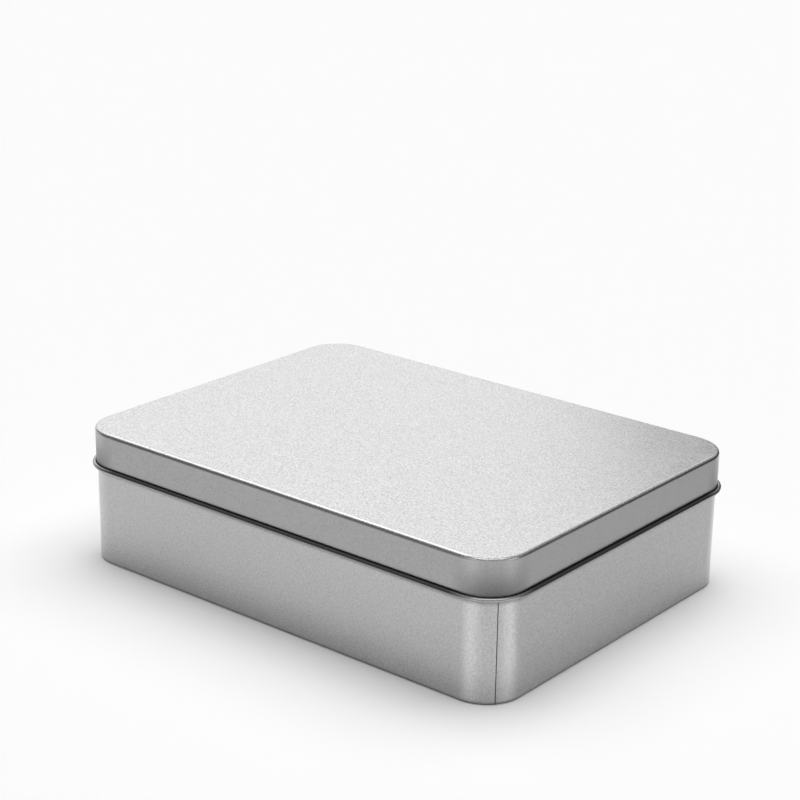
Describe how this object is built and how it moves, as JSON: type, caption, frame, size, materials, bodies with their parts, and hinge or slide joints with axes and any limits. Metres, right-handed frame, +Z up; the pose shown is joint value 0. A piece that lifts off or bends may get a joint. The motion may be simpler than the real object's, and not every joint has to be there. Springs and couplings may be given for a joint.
{
  "type": "rectangular tin box",
  "caption": "Shut rectangular tinplate box with rounded corners: a straight-walled body under a lift-off lid whose skirt ends in an outward rolled edge.",
  "frame": {"origin": "middle of the base, on the surface that the box stands on", "axes": "+X along the long side, +Y across it, +Z up through the lid"},
  "size_m": [0.203, 0.1504, 0.0535],
  "materials": {
    "lid_tinplate": "satin",
    "body_tinplate": "satin"
  },
  "bodies": {
    "root": {"lid": "lid_tinplate", "tin_body": "body_tinplate"}
  },
  "joints": []
}
